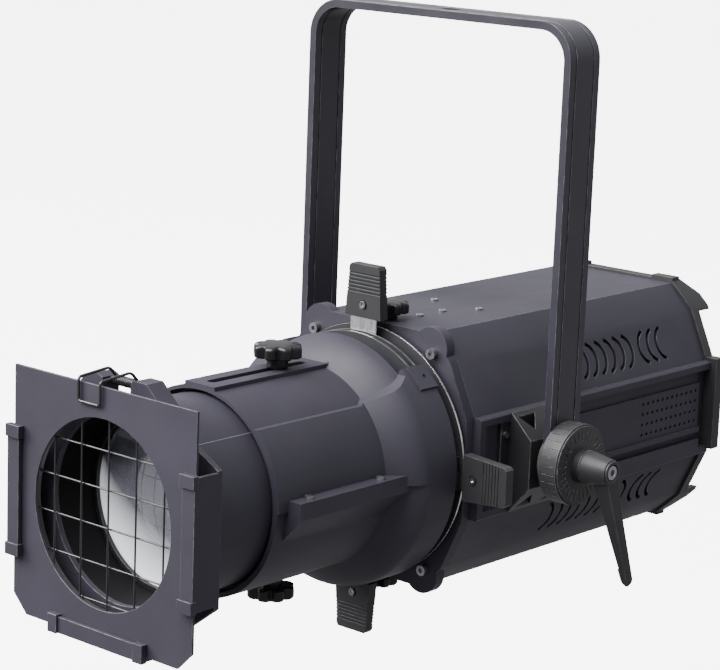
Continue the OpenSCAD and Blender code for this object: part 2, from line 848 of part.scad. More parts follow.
// Ribbed plastic grip with a slit for the blade, drawn for the top shutter.
module grip(y) {
    y0 = grip_y - grip_t / 2;
    y1 = grip_y + grip_t / 2;
    z1 = grip_z0 + grip_len;
    groove_pitch = 2.45;
    groove_z0 = grip_z0 + 16.5;
    difference() {
        along_y(y0, y1) polygon([
            [-15.6, grip_z0], [-14.6, grip_z0 + 14], [-13.2, z1 - 2], [-11.6, z1],
            [11.6, z1], [13.2, z1 - 2], [14.6, grip_z0 + 14], [15.6, grip_z0],
        ]);
        for (i = [0:5], face_y = [y0, y1])
            translate([0, face_y, groove_z0 + i * groove_pitch]) block([-20, -0.6, 0], [20, 0.6, 1]);
        block([-tongue_half_w - 0.1, y - blade_t / 2 - 0.05, grip_z0 - 1],
              [tongue_half_w + 0.1, y + blade_t / 2 + 0.05, grip_z0 + 20]);
        translate([0, 0, grip_screw_z]) {
            rod_y(2, y0 - 1, y1 - 0.5, $fn = 24);
            rod_y(3.4, y0 - 1, y0 + grip_recess);
        }
    }
}

module blade_top() color(STEEL) in_place() blade(top_plane_y);

module blade_right() color(STEEL) in_place() rotate([0, 90, 0]) blade(right_plane_y);

module blade_bottom() color(STEEL) in_place() rotate([0, 180, 0]) blade(bottom_plane_y);

module blade_left() color(STEEL) in_place() rotate([0, 270, 0]) blade(left_plane_y);

module grip_top() color(BLACK) in_place() grip(top_plane_y);

module grip_right() color(BLACK) in_place() rotate([0, 90, 0]) grip(right_plane_y);

module grip_bottom() color(BLACK) in_place() rotate([0, 180, 0]) grip(bottom_plane_y);

module grip_left() color(BLACK) in_place() rotate([0, 270, 0]) grip(left_plane_y);

// ---------- knobs ----------

module focus_knob() {
    translate([0, focus_y, pad_top_z + slide_gap])
        star_knob(16.2, 7, 7, 9, pad_top_z + slide_gap - tube_inner_r - 0.5);
}

module focus_knob_top() color(BLACK) in_place() focus_knob();

module focus_knob_bottom() color(BLACK) in_place() mirror([0, 0, 1]) focus_knob();

module rotation_knob() {
    translate([0, 258, housing_half_h + slide_gap])
        star_knob(14, 6, 4.2, 8, housing_half_h - neck_r - 0.1);
}

module rotation_knob_top() color(BLACK) in_place() rotation_knob();

module rotation_knob_bottom() color(BLACK) in_place() mirror([0, 0, 1]) rotation_knob();

// ---------- lens tube ----------

module lens_tube() color(BLACK) in_place() difference() {
    ring_y(tube_r, tube_inner_r, tube_y0, tube_y1);
    for (s = [0, 1])
        mirror([0, 0, s]) translate([0, focus_y, 0]) rod_z(3 + run_gap, 40, 80, $fn = 32);
}

// Plano-convex lens with its bow to the front; y is the flat face.
module lens(r, bow_r, thick, y) {
    intersection() {
        rod_y(r, y - thick, y);
        translate([0, y - thick + bow_r, 0]) sphere(bow_r, $fn = 128);
    }
}

module front_lens() color(GLASS) in_place() lens(tube_inner_r - 0.2, 118, 20, front_lens_y);

module rear_lens() color(GLASS) in_place() lens(52, 100, 18, rear_lens_y);

// A seat behind each lens and a ring that holds it there.
module lens_rings() color(DARK) in_place() {
    ring_y(tube_inner_r, 56.5, front_lens_y - 9, front_lens_y - 6);
    ring_y(tube_inner_r, 55, front_lens_y, front_lens_y + 3);
    ring_y(tube_inner_r, 52.2, rear_lens_y - 6, rear_lens_y + EPS);
    ring_y(tube_inner_r, 46, rear_lens_y, rear_lens_y + 4);
}

// ---------- colour frame and its holder ----------

// Back plate of the holder, drawn in x and z.
module holder_back() {
    difference() {
        union() {
            circle(66);
            polygon([
                [-wall_out, 42], [-66.4, 50.6], [-45, 62], [45, 62], [66.4, 50.6], [wall_out, 42],
                [wall_out, -43], [60, -60], [43, -wall_out],
                [-43, -wall_out], [-60, -60], [-wall_out, -43],
            ]);
        }
        circle(tube_inner_r);
    }
}

// Channel for one edge of the colour frame, drawn for the right edge, with a raised end on each lip.
module edge_channel() {
    half_len = 41;
    end_len = 8;
    block([wall_in, lip_y0, -half_len], [wall_out, back_y0 + EPS, half_len]);
    block([wall_out - 10.5, lip_y0, -half_len], [wall_out, lip_y1, half_len]);
    for (z = [-half_len - 1, half_len + 1 - end_len])
        block([wall_out - 11.8, lip_y0 - 1.5, z], [wall_out + 0.3, lip_y1, z + end_len]);
}

module frame_holder() color(BLACK) in_place() {
    along_y(back_y0, tube_y0) holder_back();
    for (a = [0, 90, 180])
        rotate([0, a, 0]) edge_channel();
}

module colour_frame() color(BLACK) in_place() along_y(-1, 0.8) difference() {
    half = frame_size / 2;
    cut = 12;
    polygon([[-half, half], [half, half], [half, cut - half], [half - cut, -half],
             [cut - half, -half], [-half, cut - half]]);
    circle(frame_opening_d / 2);
}

// Crossed wires welded to a ring behind the colour frame.
module wire_guard() color(DARK) in_place() {
    wire_r = 0.6;
    ring_r = frame_opening_d / 2 + 2.5;
    ring_y(ring_r + 1.4, ring_r - 1.4, 0.8, 4.4);
    for (x = [3 - 2 * guard_pitch:guard_pitch:3 + 2 * guard_pitch]) {
        half = sqrt(ring_r * ring_r - x * x);
        translate([x, 1.9, 0]) rod_z(wire_r, -half, half, $fn = 16);
    }
    for (z = [15 - 3 * guard_pitch:guard_pitch:15 + guard_pitch]) {
        half = sqrt(ring_r * ring_r - z * z);
        translate([0, 3.4, z]) rod_x(wire_r, -half, half, $fn = 16);
    }
}

// Pin between two blocks that stand on the lens tube.
module clip_block() color(BLACK) in_place() difference() {
    union() {
        along_y(clip_pin.x - 8, clip_pin.x + 6) {
            polygon([[1.1, 40], [1.1, 77], [4, 80.5], [15, 80.5], [30, 67], [30, 40]]);
            polygon([[-45, 40], [-45, 70], [-40, 77], [-29, 80], [-23.5, 78], [-23.5, 40]]);
        }
        translate([0, clip_pin.x, clip_pin.y]) rod_x(clip_pin_r, -27, 4);
    }
    rod_y(tube_r, 0, BIG);
}

// Straight piece of wire from a to b.
module wire(a, b) {
    d = b - a;
    lean = acos(d.z / norm(d));
    turn = atan2(d.y, d.x);
    translate(a) rotate([0, lean, turn]) cylinder(r = clip_wire_r, h = norm(d), $fn = 24);
}

// Ball that rounds a bend between two pieces of wire.
module bend(p) {
    translate(p) sphere(clip_wire_r + 0.15, $fn = 24);
}

// Wire loop over the colour frame, wound round the pin as a long coil.
module clip_spring() color(DARK) in_place() {
    front_y = -2.5;
    foot_z = 67.5;
    top_z = 82.4;
    crest = [22.5, 84.7];
    for (x = [clip_left_x, clip_right_x]) {
        bend([x, front_y, foot_z]);
        wire([x, front_y, foot_z], [x, front_y, top_z]);
        bend([x, front_y, top_z]);
        wire([x, front_y, top_z], [x, crest.x, crest.y]);
        bend([x, crest.x, crest.y]);
        wire([x, crest.x, crest.y], [x, clip_pin.x, clip_pin.y + clip_coil_r - clip_wire_r / 2]);
    }
    translate([0, clip_pin.x, clip_pin.y]) difference() {
        rod_x(clip_coil_r, clip_left_x - 2, clip_right_x + 1.7);
        rod_x(clip_pin_r + run_gap, clip_left_x - 3, clip_right_x + 3);
    }
    wire([clip_left_x, front_y, foot_z], [clip_right_x, front_y, foot_z]);
}

// ---------- nodes ----------

yoke();
friction_washers();
top_shell();
bottom_shell();
right_side_panel();
left_side_panel();
front_plate();
rear_cap();
rear_panel();
housing_screws();
right_bracket();
left_bracket();
pivot_bushes();
tilt_discs();
left_pivot_bolt();
display_window();
data_sockets();
power_sockets();
fuse_holder();
light_tube();
condenser_lens();
led_module();
heat_sink();
fan_frame();
driver_board();
power_supply();
clamp_stud();
lever_screw();
clamping_lever();
rotation_knob_top();
rotation_knob_bottom();
barrel_upper();
barrel_lower();
barrel_screws();
barrel_neck();
neck_retainer();
shutter_guides();
guide_posts();
blade_top();
blade_bottom();
blade_left();
blade_right();
grip_top();
grip_bottom();
grip_left();
grip_right();
lens_tube();
front_lens();
rear_lens();
lens_rings();
frame_holder();
colour_frame();
wire_guard();
clip_block();
clip_spring();
focus_knob_top();
focus_knob_bottom();
menu_button_1();
menu_button_2();
fan_rotor();
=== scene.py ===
import json
import math

import bmesh
import bpy
from mathutils import Matrix, Vector


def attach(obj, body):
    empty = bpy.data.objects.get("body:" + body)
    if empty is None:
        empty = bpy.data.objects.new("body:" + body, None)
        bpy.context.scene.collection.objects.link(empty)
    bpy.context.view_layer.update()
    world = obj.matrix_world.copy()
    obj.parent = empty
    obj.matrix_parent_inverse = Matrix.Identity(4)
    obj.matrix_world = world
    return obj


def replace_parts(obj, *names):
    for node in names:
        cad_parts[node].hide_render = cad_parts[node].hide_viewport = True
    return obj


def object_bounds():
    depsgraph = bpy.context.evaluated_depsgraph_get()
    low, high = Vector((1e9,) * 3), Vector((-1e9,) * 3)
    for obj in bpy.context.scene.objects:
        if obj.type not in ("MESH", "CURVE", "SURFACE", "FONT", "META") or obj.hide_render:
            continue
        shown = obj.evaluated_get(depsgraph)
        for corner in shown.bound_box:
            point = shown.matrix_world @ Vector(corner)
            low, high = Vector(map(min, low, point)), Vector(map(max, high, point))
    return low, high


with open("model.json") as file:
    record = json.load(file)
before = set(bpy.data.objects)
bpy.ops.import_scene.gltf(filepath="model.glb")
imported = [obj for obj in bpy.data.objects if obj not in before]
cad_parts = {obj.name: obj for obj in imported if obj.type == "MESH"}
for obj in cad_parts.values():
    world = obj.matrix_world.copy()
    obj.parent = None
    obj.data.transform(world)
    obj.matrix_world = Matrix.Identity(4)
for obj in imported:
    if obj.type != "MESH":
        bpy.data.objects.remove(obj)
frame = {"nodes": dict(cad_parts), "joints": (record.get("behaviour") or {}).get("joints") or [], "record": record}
cad_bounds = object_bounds()

MM = 0.001
# Where the optical axis meets the colour frame's plane, in the model's own frame. Sizes below are in
# millimetres from there: x to the lever side, y from the colour frame to the back, z up from the axis.
LAMP_ORIGIN = Vector((0, -0.310, -0.292))


def lamp(x, y, z):
    """A point given in the lamp's own millimetres, in the model's frame in metres."""
    return LAMP_ORIGIN + Vector((x, y, z)) * MM


# ---------- materials ----------

# Name of the face layer that marks a piece's rounded edges.
EDGE_LAYER = "edge"
# The Mix node's sockets for colours.
MIX_COLOR_A = 6
MIX_COLOR_B = 7
MIX_COLOR_RESULT = 2


class Shader:
    """A node material under construction; every texture runs on the piece's own coordinates."""

    def __init__(self, name):
        self.material = bpy.data.materials.new(name)
        self.material.use_nodes = True
        self.tree = self.material.node_tree
        self.surface = self.tree.nodes["Principled BSDF"]
        self.coordinates = self.tree.nodes.new("ShaderNodeTexCoord").outputs["Object"]

    def node(self, kind, **inputs):
        """A new node with its inputs set or linked."""
        made = self.tree.nodes.new(kind)
        for key, value in inputs.items():
            self.put(made, key, value)
        return made

    def put(self, made, key, value):
        """Sets an input to a constant, or links it if the value is another node's output."""
        socket = made.inputs[key]
        if isinstance(value, bpy.types.NodeSocket):
            self.tree.links.new(value, socket)
        else:
            socket.default_value = value

    def stretched(self, scale):
        """The coordinates with each axis scaled, which draws a texture out into streaks."""
        return self.node("ShaderNodeMapping", Vector=self.coordinates, Scale=scale).outputs["Vector"]

    def noise(self, scale, detail=4.0, vector=None):
        """A cloudy texture from 0 to 1; scale is in cycles per metre."""
        made = self.node(
            "ShaderNodeTexNoise",
            Vector=vector or self.coordinates,
            Scale=scale,
            Detail=detail,
            Roughness=0.6,
        )
        return made.outputs["Fac"]

    def between(self, value, low, high, to_low=0.0, to_high=1.0):
        """Maps low..high onto to_low..to_high, and holds it there outside."""
        made = self.tree.nodes.new("ShaderNodeMapRange")
        self.put(made, "Value", value)
        for index, number in enumerate((low, high, to_low, to_high), start=1):
            made.inputs[index].default_value = number
        return made.outputs["Result"]

    def times(self, a, b):
        """The product of two values."""
        made = self.tree.nodes.new("ShaderNodeMath")
        made.operation = "MULTIPLY"
        self.put(made, 0, a)
        self.put(made, 1, b)
        return made.outputs[0]

    def mixed(self, factor, a, b):
        """One colour blended into another."""
        made = self.tree.nodes.new("ShaderNodeMix")
        made.data_type = "RGBA"
        self.put(made, 0, factor)
        self.put(made, MIX_COLOR_A, a)
        self.put(made, MIX_COLOR_B, b)
        return made.outputs[MIX_COLOR_RESULT]

    def bumps(self, *layers):
        """Chains (height, depth in metres) layers into one normal."""
        normal = None
        for height, depth in layers:
            made = self.node("ShaderNodeBump", Height=height, Distance=depth, Strength=1.0)
            if normal:
                self.put(made, "Normal", normal)
            normal = made.outputs["Normal"]
        self.put(self.surface, "Normal", normal)

    def edges(self):
        """1 on the rounded edges of a piece, broken up by noise, and 0 elsewhere."""
        marked = self.tree.nodes.new("ShaderNodeAttribute")
        marked.attribute_name = EDGE_LAYER
        return self.times(marked.outputs["Fac"], self.between(self.noise(160), 0.35, 0.65))


def rgb(color):
    """A colour with full opacity."""
    return (*color, 1.0)


def coated(name, color, edge_wear_and_highlight, roughness, grain_size, grain_depth, edge_share=0.6, shine=0.25):
    """Paint or moulded plastic: a fine grain, cloudy tone, uneven gloss, and pale edges that show wear and also
    carry a painted highlight.

    The edge colour, the third argument, is part wear and part painted highlight; the grain's size and depth are in
    millimetres.
    """
    shader = Shader(name)
    cloud = shader.between(shader.noise(14, detail=5), 0.3, 0.7)
    tone = shader.mixed(cloud, rgb([c * 0.86 for c in color]), rgb([c * 1.12 for c in color]))
    # Pale edges: part wear, part painted highlight along the rounded edges.
    wear_and_highlight_share = shader.times(shader.edges(), edge_share)
    shader.put(shader.surface, "Base Color", shader.mixed(wear_and_highlight_share, tone, rgb(edge_wear_and_highlight)))
    smear = shader.noise(30, detail=6, vector=shader.stretched((1.0, 0.35, 1.0)))
    shader.put(shader.surface, "Roughness",
               shader.between(smear, 0.3, 0.7, roughness - 0.06, roughness + 0.06))
    shader.put(shader.surface, "Specular IOR Level", shine)
    grain = shader.noise(1 / (grain_size * MM), detail=2)
    shader.bumps((grain, grain_depth * MM), (shader.noise(60, detail=3), 0.02 * MM))
    return shader.material


def metal(name, color, roughness, streaks):
    """Bare metal with fine streaks and a few dull patches.

    streaks is the texture's scale along each axis, in cycles per metre.
    """
    shader = Shader(name)
    shader.put(shader.surface, "Metallic", 1.0)
    lines = shader.noise(1.0, detail=3, vector=shader.stretched(streaks))
    patches = shader.between(shader.noise(45, detail=5), 0.35, 0.7)
    tone = shader.mixed(lines, rgb([c * 0.8 for c in color]), rgb(color))
    shader.put(shader.surface, "Base Color",
               shader.mixed(shader.times(patches, 0.35), tone, rgb([c * 0.6 for c in color])))
    shader.put(shader.surface, "Roughness",
               shader.between(lines, 0.25, 0.75, roughness - 0.08, roughness + 0.1))
    shader.bumps((lines, STREAK_DEPTH * MM))
    return shader.material


# Depth of the fine streaks in bare metal, in millimetres.
STREAK_DEPTH = 0.01
# The side of the lenses that glows with a painted highlight, standing in for the bright reflector showing through,
# where the glow starts and ends, in metres from the axis, and how strong it gets.
PAINTED_HIGHLIGHT_DIRECTION = Vector((-0.45, 0, -0.9))
PAINTED_HIGHLIGHT_START = 0.008
PAINTED_HIGHLIGHT_END = 0.055
PAINTED_HIGHLIGHT_STRENGTH = 1.9


def glass(name, tint, clearness):
    """Coated optical glass with a painted highlight glowing on its low side, and a trace of dust."""
    shader = Shader(name)
    haze = shader.between(shader.noise(25, detail=4), 0.4, 0.8)
    shader.put(shader.surface, "Base Color", shader.mixed(haze, rgb(tint), rgb([c * 0.93 for c in tint])))
    shader.put(shader.surface, "Transmission Weight", clearness)
    shader.put(shader.surface, "IOR", 1.52)
    dust = shader.between(shader.noise(220, detail=6), 0.6, 0.8, 0.03, 0.06)
    shader.put(shader.surface, "Roughness", dust)
    shader.put(shader.surface, "Coat Weight", 1.0)
    shader.put(shader.surface, "Coat IOR", 1.9)
    shader.put(shader.surface, "Coat Roughness", dust)
    painted_highlight_side = shader.node("ShaderNodeVectorMath")
    painted_highlight_side.operation = "DOT_PRODUCT"
    shader.put(painted_highlight_side, 0, shader.coordinates)
    shader.put(painted_highlight_side, 1, PAINTED_HIGHLIGHT_DIRECTION)
    axis = LAMP_ORIGIN.dot(PAINTED_HIGHLIGHT_DIRECTION)
    # Painted highlight: the emission rises towards the lens's low side.
    glow = shader.between(
        painted_highlight_side.outputs["Value"], axis + PAINTED_HIGHLIGHT_START, axis + PAINTED_HIGHLIGHT_END, 0.0, PAINTED_HIGHLIGHT_STRENGTH
    )
    shader.put(shader.surface, "Emission Color", rgb((0.95, 0.96, 1.0)))
    shader.put(shader.surface, "Emission Strength", glow)
    return shader.material


MATERIALS = {
    "powder_coat": coated("powder_coat", (0.0175, 0.016, 0.0235), (0.13, 0.13, 0.14), 0.54, 0.9, 0.03),
    "yoke_paint": coated(
        "yoke_paint", (0.018, 0.017, 0.023), (0.24, 0.24, 0.26), 0.34, 1.3, 0.01, shine=0.3,
    ),
    "cast_black": coated("cast_black", (0.010, 0.010, 0.011), (0.09, 0.09, 0.1), 0.45, 1.6, 0.05),
    "black_plastic": coated("black_plastic", (0.014, 0.014, 0.015), (0.07, 0.07, 0.075), 0.5, 0.7, 0.02),
    "knob_plastic": coated("knob_plastic", (0.006, 0.006, 0.007), (0.05, 0.05, 0.055), 0.3, 0.8, 0.01),
    "bare_steel": metal("bare_steel", (0.80, 0.80, 0.81), 0.3, (900, 60, 60)),
    "screw_steel": metal("screw_steel", (0.36, 0.36, 0.38), 0.34, (400, 400, 90)),
    "black_wire": coated("black_wire", (0.010, 0.010, 0.011), (0.1, 0.1, 0.11), 0.34, 0.6, 0.01, shine=0.4),
    "lens_glass": glass("lens_glass", (0.12, 0.12, 0.145), 0.5),
    "display_glass": coated("display_glass", (0.010, 0.014, 0.022), (0.03, 0.03, 0.04), 0.12, 2.0, 0.002),
    "aluminium": metal("aluminium", (0.68, 0.69, 0.71), 0.38, (60, 700, 60)),
    "circuit_board": coated("circuit_board", (0.02, 0.11, 0.05), (0.2, 0.25, 0.1), 0.35, 1.5, 0.02),
    "led_phosphor": coated("led_phosphor", (0.75, 0.55, 0.08), (0.8, 0.8, 0.75), 0.5, 1.2, 0.02),
    "blue_plastic": coated("blue_plastic", (0.02, 0.06, 0.22), (0.1, 0.15, 0.3), 0.4, 0.8, 0.02),
    "fibre": coated("fibre", (0.06, 0.05, 0.045), (0.12, 0.1, 0.09), 0.75, 0.8, 0.06),
}
# Finishes besides the record's own: a node that needs one, in whole or in part, takes it from here.
# The tilt discs' finish: its pale rims are part wear and part painted highlight.
RIM_WEAR_AND_HIGHLIGHT = coated(
    "rim_wear_and_highlight_plastic", (0.022, 0.022, 0.023), (0.45, 0.45, 0.47), 0.45, 0.7, 0.02, edge_share=1.0,
)
DARK_SCREW = metal("blackened_screw", (0.22, 0.22, 0.23), 0.34, (400, 400, 90))
DARK_SHEET = coated("blackened_sheet", (0.020, 0.020, 0.022), (0.2, 0.2, 0.2), 0.4, 1.0, 0.01)
# Pale colour of the tube's seam ridge: a painted highlight.
SEAM_PAINTED_HIGHLIGHT = coated("seam_painted_highlight", (0.075, 0.075, 0.085), (0.3, 0.3, 0.32), 0.4, 0.8, 0.01)
LINING = coated("matte_lining", (0.003, 0.003, 0.0035), (0.04, 0.04, 0.04), 0.8, 1.0, 0.03, shine=0.1)

SLOT_OF = {part["node"]: part["material_slot"] for part in frame["record"]["subparts"]}
BODY_OF = {
    node: body
    for body, nodes in frame["record"]["behaviour"]["bodies"].items()
    for node in nodes
}


# ---------- mesh tools ----------

# Edges sharper than these angles, in degrees, stay creases when a piece is shaded smooth.
OUTER_CREASE = 50
INNER_CREASE = 30
# Outer edges sharper than this angle are rounded, in this many steps.
ROUNDED_ANGLE = 28
ROUNDING_STEPS = 2
# Width of a rounded edge where EDGE_WIDTH doesn't say otherwise, in millimetres.
USUAL_EDGE = 0.4


def shaded(bm, name):
    """Turns a bmesh into an object with smooth faces, sharp creases and weighted normals."""
    bm.normal_update()
    for face in bm.faces:
        face.smooth = True
    for edge in bm.edges:
        if edge.is_manifold:
            angle = math.degrees(edge.calc_face_angle(0.0))
            edge.smooth = angle < (OUTER_CREASE if edge.is_convex else INNER_CREASE)
    mesh = bpy.data.meshes.new(name)
    bm.to_mesh(mesh)
    bm.free()
    piece = bpy.data.objects.new(name, mesh)
    bpy.context.scene.collection.objects.link(piece)
    weighted = piece.modifiers.new("weighted", "WEIGHTED_NORMAL")
    weighted.keep_sharp = True
    weighted.weight = 100
    return piece


def finished(piece, node, *more_materials):
    """Gives a piece the node's body and finish; its faces' material numbers pick among the rest."""
    slot = SLOT_OF[node]
    for material in (MATERIALS[slot], *more_materials):
        piece.data.materials.append(material)
    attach(piece, BODY_OF[node])
    return piece


def edge_layer(bm):
    """The face layer that marks rounded edges, made if it isn't there yet."""
    return bm.faces.layers.float.get(EDGE_LAYER) or bm.faces.layers.float.new(EDGE_LAYER)


def round_edges(bm, width):
    """Rounds every sharp outer edge to that width, and marks the new faces as edges."""
    layer = edge_layer(bm)
    edges = [
        e for e in bm.edges
        if e.is_manifold and e.is_convex and math.degrees(e.calc_face_angle(0.0)) > ROUNDED_ANGLE
    ]
    made = bmesh.ops.bevel(
        bm, geom=edges, offset=width * MM, segments=ROUNDING_STEPS, profile=0.5,
        affect="EDGES", clamp_overlap=True,
    )
    for face in made["faces"]:
        face[layer] = 1.0


def refined(node, width, second=None):
    """The CAD node's own shape with its outer edges rounded.

    second is a material and a test on a face's centre and normal in the lamp's millimetres: the
    faces that pass get that material.
    """
    bm = bmesh.new()
    bm.from_mesh(frame["nodes"][node].data)
    bmesh.ops.remove_doubles(bm, verts=bm.verts, dist=1e-6)
    bmesh.ops.dissolve_limit(bm, angle_limit=math.radians(0.5), verts=bm.verts, edges=bm.edges)
    round_edges(bm, width)
    more = ()
    if second:
        material, test = second
        more = (material,)
        bm.normal_update()
        for face in bm.faces:
            centre = (face.calc_center_median() - LAMP_ORIGIN) / MM
            face.material_index = int(test(centre, face.normal))
    piece = finished(shaded(bm, node + "_finished"), node, *more)
    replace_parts(piece, node)


def lofted(bm, rings):
    """Skins a row of rings that have equal numbers of points, and caps both ends."""
    loops = [[bm.verts.new(point) for point in ring] for ring in rings]
    count = len(rings[0])
    for low, high in zip(loops, loops[1:]):
        for i in range(count):
            j = (i + 1) % count
            bm.faces.new((low[i], low[j], high[j], high[i]))
    bm.faces.new(reversed(loops[0]))
    bm.faces.new(loops[-1])


def swept(bm, path, radius, sides=12):
    """Round wire along a path; each ring is the last one carried over without a twist.

    The path is in metres and the radius in millimetres.
    """
    points = [Vector(p) for p in path]
    across = None
    rings = []
    for i, point in enumerate(points):
        ahead = (points[min(i + 1, len(points) - 1)] - points[max(i - 1, 0)]).normalized()
        across = across or ahead.orthogonal()
        across = (across - ahead * across.dot(ahead)).normalized()
        side = ahead.cross(across)
        rings.append([
            point + (across * math.cos(a) + side * math.sin(a)) * radius * MM
            for a in (math.tau * k / sides for k in range(sides))
        ])
    lofted(bm, rings)


def rounded_path(corners, radius, steps=6):
    """A path in metres through corners in the lamp's millimetres, with each inner corner rounded off."""
    points = [Vector(c) for c in corners]
    path = [points[0]]
    for before, corner, after in zip(points, points[1:], points[2:]):
        start = corner + (before - corner).normalized() * radius
        end = corner + (after - corner).normalized() * radius
        for k in range(steps + 1):
            t = k / steps
            path.append(start * (1 - t) ** 2 + corner * 2 * t * (1 - t) + end * t ** 2)
    path.append(points[-1])
    return [lamp(*p) for p in path]


# ---------- pieces made from the CAD shapes ----------

# The grips' front faces; on a blade's node, only its screw's head is in front of them.
GRIP_FRONT_Y = 231.3
# The rear guide plate starts here, and only its outer edge is further than this from the axis.
REAR_GUIDE_Y = 238
GUIDE_EDGE_R = 80

BLADES = ["blade_top", "blade_bottom", "blade_left", "blade_right"]
KNOBS = ["focus_knob_top", "focus_knob_bottom", "rotation_knob_top", "rotation_knob_bottom"]


def on_screw(centre, normal):
    """True on the head of the screw that holds a grip."""
    return centre.y < GRIP_FRONT_Y


def off_bright_edge(centre, normal):
    """True except on the outer edge of the rear guide plate."""
    on_edge = math.hypot(centre.x, centre.z) > GUIDE_EDGE_R and abs(normal.y) < 0.5
    return centre.y < REAR_GUIDE_Y or not on_edge


def anywhere(centre, normal):
    """True on every face, for a node that takes a second finish all over."""
    return True


def faces_axis(centre, normal):
    """True on a wall that looks in towards the optical axis."""
    return centre.x * normal.x + centre.z * normal.z < 0


# Widths of rounded edges in millimetres.
EDGE_WIDTH = {
    "yoke": 0.7, "front_plate": 0.6, "rear_cap": 0.7, "frame_holder": 0.7, "clamping_lever": 1.2,
    "colour_frame": 0.25, "shutter_guides": 0.15, "wire_guard": 0.1, "housing_screws": 0.25,
    "barrel_screws": 0.2, "tilt_discs": 0.3, "barrel_upper": 0.6, "barrel_lower": 0.6,
    "clip_block": 1.0, "right_bracket": 0.6, "left_bracket": 0.6,
    "grip_top": 0.9, "grip_bottom": 0.9, "grip_left": 0.9, "grip_right": 0.9,
    **{blade: 0.1 for blade in BLADES},
}
# The second finish of a node, and the test that picks its faces.
TWO_TONE = {
    "shutter_guides": (DARK_SHEET, off_bright_edge),
    "tilt_discs": (RIM_WEAR_AND_HIGHLIGHT, anywhere),
    "lens_tube": (LINING, faces_axis),
    **{blade: (DARK_SCREW, on_screw) for blade in BLADES},
}
for node in frame["nodes"]:
    if node not in (*KNOBS, "clip_spring"):
        refined(node, EDGE_WIDTH.get(node, USUAL_EDGE), second=TWO_TONE.get(node))


# ---------- knobs ----------

KNOB_POINTS = 128
KNOB_LOBES = 8
# Depth of a flute as a share of the knob's radius.
FLUTE_SHARE = 0.22
STUD_RADIUS = 2.9
# Outline of a knob's head: share of its height, and share by which its radius has shrunk there.
HEAD_OUTLINE = [
    (0.0, 0.08), (0.06, 0.02), (0.14, 0.0), (0.64, 0.0), (0.74, 0.012), (0.82, 0.04),
    (0.88, 0.085), (0.925, 0.15), (0.955, 0.25), (0.98, 0.42), (0.995, 0.66), (1.0, 0.93),
]
# Heights and shares of shrinking of the stem's chamfered foot, in millimetres.
STEM_FOOT = [(0, 0.05), (0.4, 0)]


def star_ring(radius, height, flute, shoulder):
    """Points of one level of an eight-lobed knob; shoulder is how far the outline has shrunk in."""
    ring = []
    for k in range(KNOB_POINTS):
        angle = math.tau * k / KNOB_POINTS
        notch = ((1 + math.cos(KNOB_LOBES * angle)) / 2) ** 2 * flute
        reach = (radius - notch) * (1 - shoulder)
        ring.append((reach * math.cos(angle), reach * math.sin(angle), height))
    return ring


def star_knob(node, place, radius, stem, head_height, stud_length):
    """Knob with deep flutes and a domed top, on a stem with a round stud.

    place is the middle of the stem's foot, and stem is its radius and height, all in millimetres.
    """
    stem_radius, stem_height = stem
    rings = [star_ring(STUD_RADIUS, z, 0, 0) for z in (-stud_length, -0.01)]
    rings += [star_ring(stem_radius, z, 0, shrunk) for z, shrunk in (*STEM_FOOT, (stem_height, 0))]
    for share, shoulder in HEAD_OUTLINE:
        flute = radius * FLUTE_SHARE * (1 - shoulder)
        rings.append(star_ring(radius, stem_height + head_height * share, flute, shoulder))
    up = 1 if place[2] > 0 else -1
    bm = bmesh.new()
    lofted(bm, [
        [lamp(place[0] + x, place[1] + y, place[2] + up * z) for x, y, z in ring] for ring in rings
    ])
    bmesh.ops.recalc_face_normals(bm, faces=bm.faces)
    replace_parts(finished(shaded(bm, node + "_star"), node), node)


for side, up in (("top", 1), ("bottom", -1)):
    star_knob(
        f"focus_knob_{side}", (0, 150, up * 69.3),
        radius=16.1, stem=(7, 7), head_height=9, stud_length=9,
    )
    star_knob(
        f"rotation_knob_{side}", (0, 258, up * 87.3),
        radius=13.9, stem=(6, 4.2), head_height=8, stud_length=30,
    )


# ---------- spring clip and tube seam ----------

# The clip's pin, in y and z, and the loop's two sides, in x.
CLIP_PIN = (28, 76)
CLIP_X = (-20, -1)
CLIP_WIRE = 0.95
CLIP_BEND = 2.6
# The coil's wire, the radius of its middle line, its two ends in x and the distance between turns.
COIL_WIRE = 0.7
COIL_RADIUS = 2.58
COIL_SPAN = (-21.2, -0.1)
COIL_PITCH = 1.5
COIL_STEPS_A_TURN = 20
# The seam's place round the tube, the radius that its middle lies at, its stations along y, its wire.
SEAM_ANGLE = 43
SEAM_RADIUS = 62.25
SEAM_STATIONS = (18.5, 50, 184)
SEAM_WIRE = 0.45


def spring_clip():
    """Wire loop with rounded bends over the colour frame, and its long coil round the pin."""
    pin_y, pin_z = CLIP_PIN
    left, right = CLIP_X
    side = [(pin_y, pin_z + COIL_RADIUS), (22.5, 84.5), (-2.5, 82.3), (-2.5, 67.6)]
    loop = [(left, y, z) for y, z in side] + [(right, y, z) for y, z in reversed(side)]
    bm = bmesh.new()
    swept(bm, rounded_path(loop, CLIP_BEND), CLIP_WIRE)
    turns = (COIL_SPAN[1] - COIL_SPAN[0]) / COIL_PITCH
    steps = round(turns * COIL_STEPS_A_TURN)
    coil = []
    for k in range(steps + 1):
        angle = math.tau * turns * k / steps
        x = COIL_SPAN[0] + COIL_PITCH * turns * k / steps
        coil.append(lamp(x, pin_y + COIL_RADIUS * math.sin(angle), pin_z + COIL_RADIUS * math.cos(angle)))
    swept(bm, coil, COIL_WIRE, sides=10)
    bmesh.ops.recalc_face_normals(bm, faces=bm.faces)
    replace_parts(finished(shaded(bm, "clip_spring_wire"), "clip_spring"), "clip_spring")


